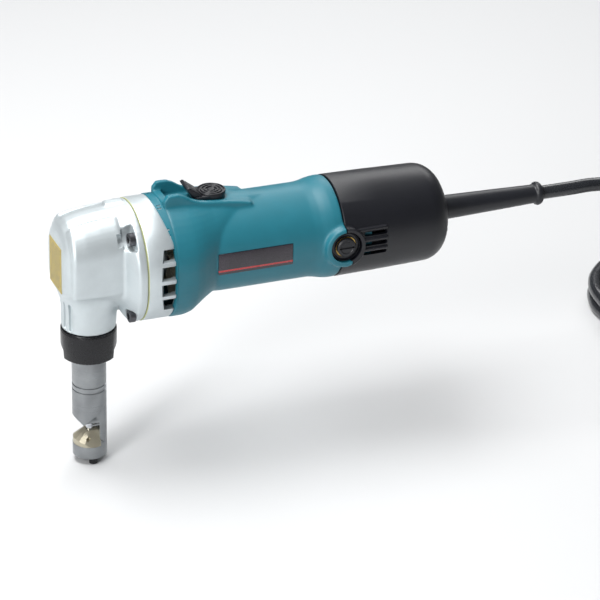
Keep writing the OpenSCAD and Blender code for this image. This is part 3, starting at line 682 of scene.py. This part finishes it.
crankRise = 16.8  # the crank's axis above the motor's
screwBore = 2.5
screwSpots = [(24, 22.7), (-24, 22.7), (24, -30.6), (-24, -30.6)]  # y and z of the four long screws

gearHousing = {
    "voxel": 0.62,
    "block": [  # station, width, low, high, upper corner, lower corner
        (-21.2, 30, -15, 20, 12, 9),
        (-20.6, 34, -17, 24, 14.5, 10),
        (-19, 39, -18.5, 28, 18, 11),
        (-15, 44, -19, 31.4, 21, 11),
        (-8, 47, -19.5, 33.4, 23, 10),
        (2, 49, -20, 34.9, 24, 10),
        (16, 51, -24, 36.2, 25.2, 14),
    ],
    "pad": [  # the raised side panels, of the same kind
        (-17.6, 46.5, -14.8, 29.6, 22.4, 4),
        (-16.9, 48.6, -15.3, 31.0, 23.6, 4),
        (-15.5, 50.2, -15.6, 33.2, 24.6, 4),
        (-8, 51.4, -15.8, 35.0, 25.4, 4),
        (2, 51.6, -15.9, 36.2, 25.6, 4),
        (14.2, 51.6, -15.9, 36.9, 25.6, 4),
        (15.4, 50.2, -15.4, 36.2, 25.0, 4),
    ],
    "padEdge": 11.2,  # how near the middle each panel comes
    "tab": ((12, 24), (1, 8), (30, 37.3)),
    # Start, radius, y and z of the scoops round the upper and the lower screw heads, and where both end
    "upperScoop": (15.2, 9.6, 27.6, 26.0),
    "lowerScoop": (17, 7.4, 27.4, -33.4),
    "scoopEnd": 22.7,
    "neckSlot": ((-24, -15.2), (-1.5, 1.5), (-43.6, -24)),
    "slotTurns": (-32, -11, 11, 32),  # degrees round the neck
    # Start, end, radius and height of the rooms for the crank, its two bearings and the pinion
    "rooms": [(-10, 10.7, 12, crankRise), (10.5, 19.4, 10.5, crankRise), (19.2, 30, 15.5, crankRise),
              (17, 30, 7, 0)],
    "sliderRoom": ((-9.4, 9.4), (-9.8, 9.8), (-19.8, crankRise)),
    "punchBores": [(-60, -18.8, 8.6), (-52, -18.8, 10.8)],
    "flange": [
        (13.5, 49, -26, 35.8, 24.4, 16),
        (16.4, 53, -29, 36.2, 26.4, 20),
        (18.6, 62, -34.5, 36.5, 30.8, 26),
        (21.6, 73.6, -39.6, 36.6, 36.2, 32),
        (22.6, 76.2, -40.8, 36.6, 37.8, 33.6),
        (27.8, 76.6, -41, 36.7, 38.2, 34),
    ],
    "neck": [  # height, width across y, rear and front, corner
        (-45.2, 35, -17.5, 17.5, 17.4),
        (-30, 35, -17.5, 18.5, 17.4),
        (-25, 35.6, -17.9, 21, 16.5),
        (-20.5, 38, -18.8, 24, 15),
        (-16, 42, -20.0, 26, 12),
        (-8, 42, -20.0, 26, 12),
    ],
}


def makeGearHousing():
    g = gearHousing
    parts = [loft("block", g["block"]), loft("flange", g["flange"], 12)]
    for side in sides:
        pad = loft("pad", g["pad"], 12)
        middle = sorted((-side * beyond, side * g["padEdge"]))
        carve(pad, block((-beyond, beyond), middle, (-beyond, beyond)))
        parts.append(pad)
    parts.append(swapped(loft("neck", g["neck"], 16), upward))
    parts.append(block(*g["tab"]))
    for part in parts:
        faceOut(part)
    skin = melt(parts, g["voxel"], 10, "gearHousing")
    # Scoops round the screw heads, and the slots between the ribs of the neck
    cuts = []
    for y, z in screwSpots:
        start, radius, out, height = g["upperScoop"] if z > 0 else g["lowerScoop"]
        cuts.append(bar(start, g["scoopEnd"], radius, math.copysign(out, y), height))
    for angle in g["slotTurns"]:
        slot = block(*g["neckSlot"])
        roundEdges(slot, 0.9, 2)
        cuts.append(placed(slot, Matrix.Rotation(math.radians(angle), 4, "Z")))
    carve(skin, *cuts)
    skin = melt([skin], g["voxel"], 3, "gearHousing")
    rooms = [bar(start, end, radius, 0, z) for start, end, radius, z in g["rooms"]]
    rooms.append(block(*g["sliderRoom"]))
    rooms += [post(*bore) for bore in g["punchBores"]]
    rooms += [bar(12, 22.6, 4.7, y, z) for y, z in screwSpots]
    rooms += [bar(12, 30, screwBore, y, z) for y, z in screwSpots]
    weld(skin, post(-57, -44.8, 15))  # the threaded nose that the lock nut goes on
    for room in rooms:
        carve(skin, room)
    finishPiece(skin, "tool_body", "cast_aluminium", "gear_housing", sharp=50)


# From the face of the head, with its rounded rim, to the end of the shank
screwProfile = [(18.7, 0), (18.7, 3.9), (19.1, 4.3), (22.5, 4.3), (22.5, 2.4), (44, 2.4), (44, 0)]


def makeHousingScrews():
    screws = []
    for y, z in screwSpots:
        screw = placed(turned("screw", screwProfile, 32), Matrix.Translation((0, y, z)))
        carve(screw, bar(17, 21, 2.5, y, z, 6))  # the hexagon socket
        screws.append(screw)
    finishPiece(makePiece(gather(screws), "housingScrews"), "tool_body", "screw_steel", "housing_screws")


def makeFrontLabel():
    low, high = (corner / mm for corner in labelBox)
    film = block((-21.5, -21.0), (low.y, high.y), (low.z, high.z), "frontLabel")
    roundEdges(film, 0.12, 1)
    finishPiece(film, "tool_body", "yellow_sticker", "front_label")


def makeGasket():
    sheet = tunnel("housingGasket", (27.82, 28.18), (76.62, -41.02, 36.72, 38.2, 34), 20)
    holes = [bar(20, 40, screwBore, y, z) for y, z in screwSpots]
    carve(sheet, *holes, bar(20, 40, 15.6, 0, crankRise))
    finishPiece(sheet, "tool_body", "gasket_paper", "housing_gasket")


bearingBox = {
    "front": 28.2,
    "back": 46,
    # Each outline is its width, low, high, upper corner and lower corner
    "outline": (77, -41.2, 36.9, 38.4, 34.1),
    "rim": (76.4, -40.9, 36.6, 38.1, 33.9),
    "roomFront": 36.5,
    "room": (69, -37.2, 32.9, 34.4, 30),
    "collar": (70.4, -37.9, 33.6, 35.1, 30.8),  # reaches back into the motor housing
    "collarRoom": (66.6, -36, 31.7, 33.2, 29),
    "slots": [(9.0, 16.8), (-2.8, 6.6), (-13.6, -5.2), (-25.2, -16)],  # low and high of each vent
    "slotPlan": [(35.4, 40), (47, 40), (47, 22), (40.6, 22), (39.4, 33)],
}


def makeBearingBox():
    b = bearingBox
    front, back = b["front"], b["back"]
    shell = loft("bearingBox", [
        (front, *b["rim"]), (front + 0.5, *b["outline"]), (back - 0.4, *b["outline"]), (back, *b["rim"]),
    ], 24)
    carve(shell, tunnel("room", (b["roomFront"], back + 2), b["room"]))
    collar = tunnel("collar", (back - 2, back + 3), b["collar"])
    carve(collar, tunnel("collarRoom", (back - 3, back + 4), b["collarRoom"]))
    posts = [bar(36, 46, 3.2, y, z) for y, z in screwSpots] + [bar(36, 45.7, 17.5)]
    weld(shell, collar, *posts)
    vents = []
    for side in sides:
        plan = [(x, side * y) for x, y in b["slotPlan"]]
        vents += [prism("vent", plan, low, high, flat=True) for low, high in b["slots"]]
    carve(shell, *vents)
    # The armature shaft and its bearing, the crank's rear bearing, and the screws
    bores = [bar(20, 45.9, 6), bar(37.5, 50, 11), bar(20, 36, 7.4, 0, crankRise)]
    bores += [bar(20, 50, screwBore, y, z) for y, z in screwSpots]
    for bore in bores:
        carve(shell, bore)
    roundEdges(shell, 0.45, 2, 40)
    finishPiece(shell, "tool_body", "cast_aluminium", "bearing_box", sharp=40)


motorHousing = {
    "voxel": 0.78,
    "fineVoxel": 0.7,
    "back": 162.3,
    "bell": [
        (46.3, 76.8, -41.1, 36.7, 38.2, 34),
        (47.2, 77.8, -41.6, 37.2, 38.7, 34.5),
        (56, 77.6, -41.5, 37.2, 38.7, 34.4),
        (61, 76.2, -40.2, 37.0, 37.9, 34),
        (66, 72.2, -37, 36.4, 35.8, 33),
        (71, 66.6, -34, 35.6, 33, 31),
        (77, 59.5, -31.2, 34.8, 29.4, 28.6),
        (86, 48, -20, 34.0, 22),
        (96, 37, -6, 33.2, 17),
        (107, 25, 8, 32.4, 11),
        (119, 12, 20, 31.0, 5),
    ],
    "barrel": [  # x and radius
        (60, 0), (60, 29), (76, 30.6), (84, 31.2), (127, 31.1), (143, 31.1), (148, 31.7),
        (152, 32.7), (156, 33.4), (160, 33.5), (162.1, 33.5), (162.1, 0),
    ],
    "saddle": [  # x and z
        (46.2, 20), (46.2, 39.5), (49.2, 43.3), (56, 43.3), (60, 41.6), (65, 38.4), (70, 36.4),
        (76, 35.3), (86, 34.3), (96, 32.9), (106, 31), (106, 20),
    ],
    "saddleHalf": 13.5,
    "recess": (51.5, 94.5),
    "recessHalf": 9.5,
    "recessFloor": 33.2,
    "sill": 37.9,
    "bossR": 13.3,
    "bossFace": 35.8,
    "bossZ": -0.7,
    "lip": [  # reaches forward over the top of the bearing box
        (40.6, 77.2, -41.3, 37, 38.5, 34.2),
        (41.2, 78.0, -41.7, 37.4, 38.9, 34.6),
        (47, 78.0, -41.7, 37.4, 38.9, 34.6),
    ],
    "lipRoom": (76.9, -41.15, 36.85, 38.35, 34.1),
    "lipWedge": [(30, -60), (30, 60), (35, 60), (40.5, 38.4), (45.9, 20), (48, -60)],
    "lipSlits": [(9.5, 36), (12.2, 36), (26.4, 26.4), (29.6, 22.8)],  # y and z
    "room": [
        (40, 70.6, -38, 33.7, 35.2, 31),
        (57, 70.6, -38, 33.7, 35.2, 31),
        (61, 69, -36.8, 33, 34, 30),
        (67, 63, -33, 32, 31, 28.6),
        (76, 57, -28.6, 29, 27, 27),
        (84, 56, -28, 28, 27.9, 27.9),
    ],
    "barrelRoom": (83.5, 170, 28),
    "spigot": [(161, 28), (161, 30.4), (181.9, 30.4), (181.9, 28)],
    "seamStep": -9.9,  # below it the housing keeps a lip of the boss
    "seamLip": 4.5,
    "plateGap": 0.25,
}
brushBore = 10.5


def plateSpan():  # the nameplate's start and end from the punch axis, and its two corners
    low, high = (corner / mm for corner in nameplateBox)
    return low.x - punchX / mm, high.x - punchX / mm, low, high


def makeMotorHousing():
    m = motorHousing
    half = m["saddleHalf"]
    back = m["back"]
    parts = [loft("bell", m["bell"], 12), turned("barrel", m["barrel"])]
    saddle = prism("saddle", m["saddle"], -half, half)
    roundEdges(saddle, 0.8, 2, 60)
    parts.append(saddle)
    for side in sides:
        profile = [(20, 0), (20, 16.2), (30, 15.0), (33, 13.9), (m["bossFace"], m["bossR"]),
                   (m["bossFace"], 0)]
        parts.append(sideTurned("boss", side, profile, back, m["bossZ"]))
    lip = loft("lip", m["lip"], 20)
    carve(lip, tunnel("lipRoom", (39, 46.2), m["lipRoom"], 20))
    carve(lip, prism("wedge", m["lipWedge"], -beyond, beyond))
    for part in parts:
        faceOut(part)
    skin = melt(parts, m["voxel"], 8, "motorHousing")
    recess = m["recessHalf"]
    cuts = [
        block(m["recess"], (-recess, recess), (m["recessFloor"], 60)),
        block((30, m["recess"][0] + 1), (-recess, recess), (m["sill"], 60)),
    ]
    carve(skin, *cuts)
    # The seam side of each boss belongs to the rear cover, apart from a lip under it
    for side in sides:
        across = sorted((side * 20, side * beyond))
        carve(skin, block((back, 180), across, (m["seamStep"], 40)))
        carve(skin, block((back + m["seamLip"], 180), across, (-40, m["seamStep"])))
    carve(skin, block((back, 180), (-31.5, 31.5), (-40, 40)))
    skin = melt([skin], m["fineVoxel"], 2, "motorHousing")
    weld(skin, lip)
    carve(skin, loft("room", m["room"], 12))
    carve(skin, bar(*m["barrelRoom"]))
    start, end, low, high = plateSpan()
    gap = m["plateGap"]
    carve(skin, block((start - gap, end + gap), (-40, high.y - 0.05), (low.z - gap, high.z + gap)))
    for side in sides:
        carve(skin, sideBore(side, brushBore, back))
    slits = []
    for side in sides:
        for y, z in m["lipSlits"]:
            slits.append(block((42.2, 45.2), (side * y - 0.55, side * y + 0.55), (z - 2.5, z + 4)))
    carve(skin, *slits)
    weld(skin, turned("spigot", m["spigot"], closed=True))
    finishPiece(skin, "tool_body", "teal_plastic", "motor_housing", sharp=48)


def makeNameplate():
    start, end, low, high = plateSpan()
    plate = block((start, end), (low.y, high.y), (low.z, high.z), "nameplate")
    roundEdges(plate, 0.18, 2)
    finishPiece(plate, "tool_body", "nameplate_enamel", "nameplate")


rearCover = {
    "front": 162.55,
    "back": 239.8,
    "ribs": (9.0, 2.1, -4.8),  # height of each raised rib, with a slot under it
    "ribSpan": (168, 190.5),
    "ribR": 1.75,
    "ribSink": 0.55,
    "slotSpan": (175.5, 191.6),
    "radius": 32.3,  # just before the rounded rear edge
    "corner": 15,
    "wall": 3,
    "boss": [(29, 0), (29, 14.4), (33.4, 13.8), (35.4, 13.3), (35.8, 12.9), (35.8, 0)],
    "spigotRoom": (150, 182.4, 30.45),
    "screwPlace": (22, -3),  # y and z of the two cover screws
}


def makeRearCover():
    r = rearCover
    front, back, corner, wall = r["front"], r["back"], r["corner"], r["wall"]
    bendX, bendR = back - corner, r["radius"] - corner
    outer = [(front, 30.6), (front, 33.1), (front + 0.4, 33.5), (190, 33.2), (222, 32.4)]
    outer += arc(bendX, bendR, corner, 88, 8, 14)
    outer += [(back, 17), (back, 8.4)]
    inner = [(back - wall, 8.4), (back - wall, 17)] + arc(bendX, bendR, corner - wall, 0, 90, 8)
    inner += [(190, 30.3), (183, 30.5)]
    shell = turned("rearCover", outer + inner, 128, closed=True)
    adds = []
    for side in sides:
        boss = sideTurned("boss", side, r["boss"], motorHousing["back"], motorHousing["bossZ"])
        carve(boss, block((140, front), (-beyond, beyond), (-40, 40)))
        carve(boss, block((140, 167.0), (-beyond, beyond), (-40, -10.0)))
        adds.append(boss)
        for z in r["ribs"]:
            reach = math.sqrt(33.3 ** 2 - z ** 2) - r["ribSink"]
            rib = bar(*r["ribSpan"], r["ribR"], side * reach, z, 24)
            tip = bmesh.new()
            bmesh.ops.create_uvsphere(tip, u_segments=24, v_segments=12, radius=r["ribR"])
            bmesh.ops.translate(tip, vec=(r["ribSpan"][1], side * reach, z), verts=tip.verts)
            adds += [rib, makePiece(tip, "tip")]
    for add in adds:
        weld(shell, add)
    carve(shell, bar(*r["spigotRoom"]))
    screwY, screwZ = r["screwPlace"]
    for side in sides:
        for z in r["ribs"]:
            slot = block(r["slotSpan"], sorted((side * 24, side * 40)), (z - 4.6, z - 1.7))
            roundEdges(slot, 1.2, 3)
            carve(shell, slot)
        carve(shell, sideBore(side, brushBore, motorHousing["back"]))
        carve(shell, bar(230, 245, 3.8, side * screwY, screwZ))
    for side in sides:
        weld(shell, bar(183, 236.9, 4, side * screwY, screwZ))
    roundEdges(shell, 0.3, 2, 40)
    finishPiece(shell, "tool_body", "black_plastic", "rear_cover", sharp=38)


cordGuard = {
    # x and radius from the flange inside the cover to the bead, and from the bead to the end
    "sleeve": [(233.6, 4.7), (233.6, 11.5), (236.7, 11.5), (236.7, 8.2), (240.5, 8.25), (258, 7.75),
               (285, 7.05), (308.5, 6.35), (310.2, 6.35)],
    "bead": (313.4, 5.0, 2.9),  # centre and radius
    "end": [(316.6, 5.6), (317, 5.2), (317, 4.7)],
}


def makeCordGuard():
    profile = cordGuard["sleeve"] + arc(*cordGuard["bead"], 150, 20, 8) + cordGuard["end"]
    guard = turned("cordGuard", profile, 64, closed=True)
    finishPiece(guard, "tool_body", "black_rubber", "cord_guard", sharp=60)


brushParts = {  # distance out from the middle and radius
    "holder": [(20, 7), (20, 10.3), (33.4, 10.3), (34.4, 9.7), (34.6, 9.2), (33.2, 8.6), (33.2, 7.6),
               (34.0, 7.2), (34.0, 7)],
    "cap": [(29.6, 0), (29.6, 6), (34.4, 6), (34.6, 6.4), (35.6, 6.35), (36.2, 5.7), (36.35, 4.4),
            (35.9, 3.9), (36.1, 0)],
    "slotLength": 10.2,
    "slotHalf": 0.75,
}


def makeBrushParts():
    station = motorHousing["back"]
    slotHalf, reach = brushParts["slotHalf"], brushParts["slotLength"] / 2
    holders, caps = [], []
    for side in sides:
        holders.append(sideTurned("holder", side, brushParts["holder"], station, 0, 64, closed=True))
        cap = sideTurned("cap", side, brushParts["cap"], station, 0, 48)
        across = sorted((side * 35.2, side * 40))
        carve(cap, block((station - reach, station + reach), across, (-slotHalf, slotHalf)))
        caps.append(cap)
    for name, group, node in (("brushHolders", holders, "brush_holders"), ("brushCaps", caps, "brush_caps")):
        piece = makePiece(gather(group), name)
        faceOut(piece)
        finishPiece(piece, "tool_body", "black_plastic", node)


switchLever = {
    "plate": ((69.2, 84), (-8.4, 8.4), (34.4, 37.0)),
    "padX": 82.5,
    "pad": [  # height and radius, with three grooves in the top
        (34.4, 0), (34.4, 9.0), (37.6, 9.2), (38.1, 8.9), (38.2, 8.3), (37.5, 7.9), (37.5, 7.2),
        (38.2, 6.9), (38.2, 6.0), (37.5, 5.6), (37.5, 4.9), (38.2, 4.6), (38.2, 3.7), (37.5, 3.3),
        (37.5, 2.5), (38.1, 2.1), (38.2, 0),
    ],
    "fin": [(68.4, 34.7), (74.4, 36.9), (72.8, 38.6), (65.4, 44.1), (63.5, 43.3)],  # x and z
    "finHalf": 7.3,
    "ridges": ((70.6, 71.2), (71.9, 72.5)),
    "pinRoom": ((72.3, 79.7), (-2.9, 2.9), (33, 36.9)),
}


def makeSwitchLever():
    s = switchLever
    plate = block(*s["plate"], "switchLever")
    roundEdges(plate, 0.5, 2)
    weld(plate, swapped(turned("pad", s["pad"], 64), upward, (s["padX"], 0, 0)))
    fin = prism("fin", s["fin"], -s["finHalf"], s["finHalf"])
    roundEdges(fin, 0.6, 3)
    weld(plate, fin)
    weld(plate, *[block(span, (-8, 8), (36.6, 37.6)) for span in s["ridges"]])
    carve(plate, block(*s["pinRoom"]))
    finishPiece(plate, "switch_lever", "black_plastic", "switch_lever", sharp=35)


nose = {
    "nutTop": -45.4,
    "nutFoot": -65.6,
    "nutR": 18.1,
    "nutFlat": 16.0,
    "nutTurn": -18,
    "marks": (-89.8, -86.1),  # heights of the two turned grooves
    "holderR": 11.2,
    "windowTop": -113.4,
    "windowFoot": -129.6,
    "wallFace": 4.5,
    "foot": -138.5,
    "dieTop": -120.5,
    "dieR": 10.95,
    "dieBore": 2.75,
    "dieLip": 4.3,  # how far from the axis the facets start to fall away
    "dieShoulder": 10.9,
    # Where each facet faces, in degrees, and how far it has fallen at the shoulder
    "dieFacets": [(180, 5.3), (148, 5.3), (212, 5.3), (118, 6.6), (242, 6.6), (90, 9.1), (270, 9.1)],
}


def makeLockNut():
    n = nose
    foot, top, radius = n["nutFoot"], n["nutTop"], n["nutR"]
    nut = turned("lockNut", [
        (foot, 11.5), (foot, radius - 1.2), (foot + 0.9, radius - 0.1), (foot + 1.2, radius),
        (top - 1.5, radius), (top - 1.3, radius - 0.25), (top - 1.1, radius - 0.25), (top - 0.9, radius - 0.05),
        (top - 0.4, radius - 0.2), (top, radius - 0.8), (top, 15.1), (foot + 3, 15.1), (foot + 3, 11.5),
    ], 128, closed=True)
    nut = swapped(nut, upward)
    for side in sides:
        outline = [(n["nutFlat"] - 0.4, foot - 1), (n["nutFlat"] + 0.2, foot + 6.5),
                   (radius + 0.4, foot + 9.4), (radius + 4, foot + 9.4), (radius + 4, foot - 1)]
        flat = prism("flat", [(side * x, z) for x, z in outline], -20, 20)
        carve(nut, placed(flat, Matrix.Rotation(math.radians(n["nutTurn"]), 4, "Z")))
    roundEdges(nut, 0.3, 2, 30)
    finishPiece(nut, "lock_nut", "black_oxide", "lock_nut", sharp=28)


def makeDieHolder():
    n = nose
    r = n["holderR"]
    profile = [(n["foot"], 4.05), (n["foot"], r - 0.7), (n["foot"] + 0.6, r - 0.05)]
    for level in n["marks"]:
        profile += [(level - 0.55, r - 0.05), (level - 0.4, r - 0.65), (level + 0.4, r - 0.65),
                    (level + 0.55, r - 0.05)]
    profile += [(-61.7, r), (-61.6, 14.6), (-57.3, 14.6), (-57.3, 8.5), (-66, 8.5), (-66, 4.75),
                (n["windowTop"], 4.75), (n["windowFoot"], 4.75), (n["windowFoot"], 4.05)]
    tube = swapped(turned("dieHolder", profile, 128, closed=True), upward)
    # The working window leaves only the wall behind the bore, and its roof slopes up at the front
    top, foot, face = n["windowTop"], n["windowFoot"], n["wallFace"]
    carve(tube, block((-13, face), (-13, 13), (foot, top)))
    carve(tube, prism("bevel", [(-6.7, top - 1), (-6.7, top), (-13, top + 6.3), (-13, top - 1)], -13, 13))
    for side in sides:
        near, far = sorted((side * 7.6, side * 13.5))
        outline = [(-6.2, top - 1), (-5.6, top - 0.2), (face, -106.8), (13, -94), (13, -134.2),
                   (face, -125.7), (face - 0.1, top - 1)]
        flat = prism("flat", outline, near, far)
        bm = bmesh.new()
        bm.from_mesh(flat.data)
        for vert in bm.verts:  # the cutter leaves a sloping run-out above
            if abs(vert.co.y) > 10 and vert.co.z > -120:
                vert.co.z += 3.2
                vert.co.x -= 1.6
        bm.to_mesh(flat.data)
        bm.free()
        carve(tube, flat)
    mark = block((-12.5, -9.8), (-1.1, 1.1), (-110.5, -101))
    carve(tube, placed(mark, Matrix.Rotation(math.radians(-24), 4, "Z")))
    roundEdges(tube, 0.18, 2, 30)
    finishPiece(tube, "nose", "machined_steel", "die_holder", sharp=28)


def makeDie():
    n = nose
    foot, top = n["windowFoot"], n["dieTop"]
    bore, radius, lip = n["dieBore"], n["dieR"], n["dieLip"]
    profile = [(foot, bore), (foot, radius), (top, radius), (top, bore)]
    body = swapped(turned("die", profile, 96, closed=True), upward)
    bm = bmesh.new()
    bm.from_mesh(body.data)
    for degrees, fall in n["dieFacets"]:
        angle = math.radians(degrees)
        away = Vector((math.cos(angle), math.sin(angle), 0))
        slope = Vector((away.x * fall, away.y * fall, n["dieShoulder"] - lip)).normalized()
        cut = bmesh.ops.bisect_plane(bm, geom=bm.verts[:] + bm.edges[:] + bm.faces[:], plane_no=slope,
                                     plane_co=away * lip + Vector((0, 0, top)), clear_outer=True)
        rim = [g for g in cut["geom_cut"] if isinstance(g, bmesh.types.BMEdge)]
        bmesh.ops.edgeloop_fill(bm, edges=rim)
    bmesh.ops.recalc_face_normals(bm, faces=bm.faces)
    bm.to_mesh(body.data)
    bm.free()
    carve(body, block((n["wallFace"], 20), (-20, 20), (-140, -110)))
    hole = bar(6, 14, 1.25, 0, 0, 32)  # for the die screw
    aim = Matrix.Translation((0, 0, -125.0)) @ Matrix.Rotation(math.radians(-114), 4, "Z")
    carve(body, placed(hole, aim))
    roundEdges(body, 0.14, 2, 20)
    finishPiece(body, "nose", "tool_steel", "die", sharp=14)


makeGearHousing()
makeHousingScrews()
makeFrontLabel()
makeGasket()
print("gear housing made")
makeBearingBox()
print("bearing box made")
makeMotorHousing()
makeNameplate()
print("motor housing made")
makeRearCover()
makeCordGuard()
makeBrushParts()
print("rear cover made")
makeSwitchLever()
makeLockNut()
makeDieHolder()
makeDie()
print("nose made")


def dressNodes():  # gives the CAD pieces that stay their finishes
    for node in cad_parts.values():
        for slot in node.material_slots:
            slot.material = finishes[slot.material.name.split(".")[0]]
    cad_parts["punch"].material_slots[0].material = finishes["bearing_steel"]


dressNodes()
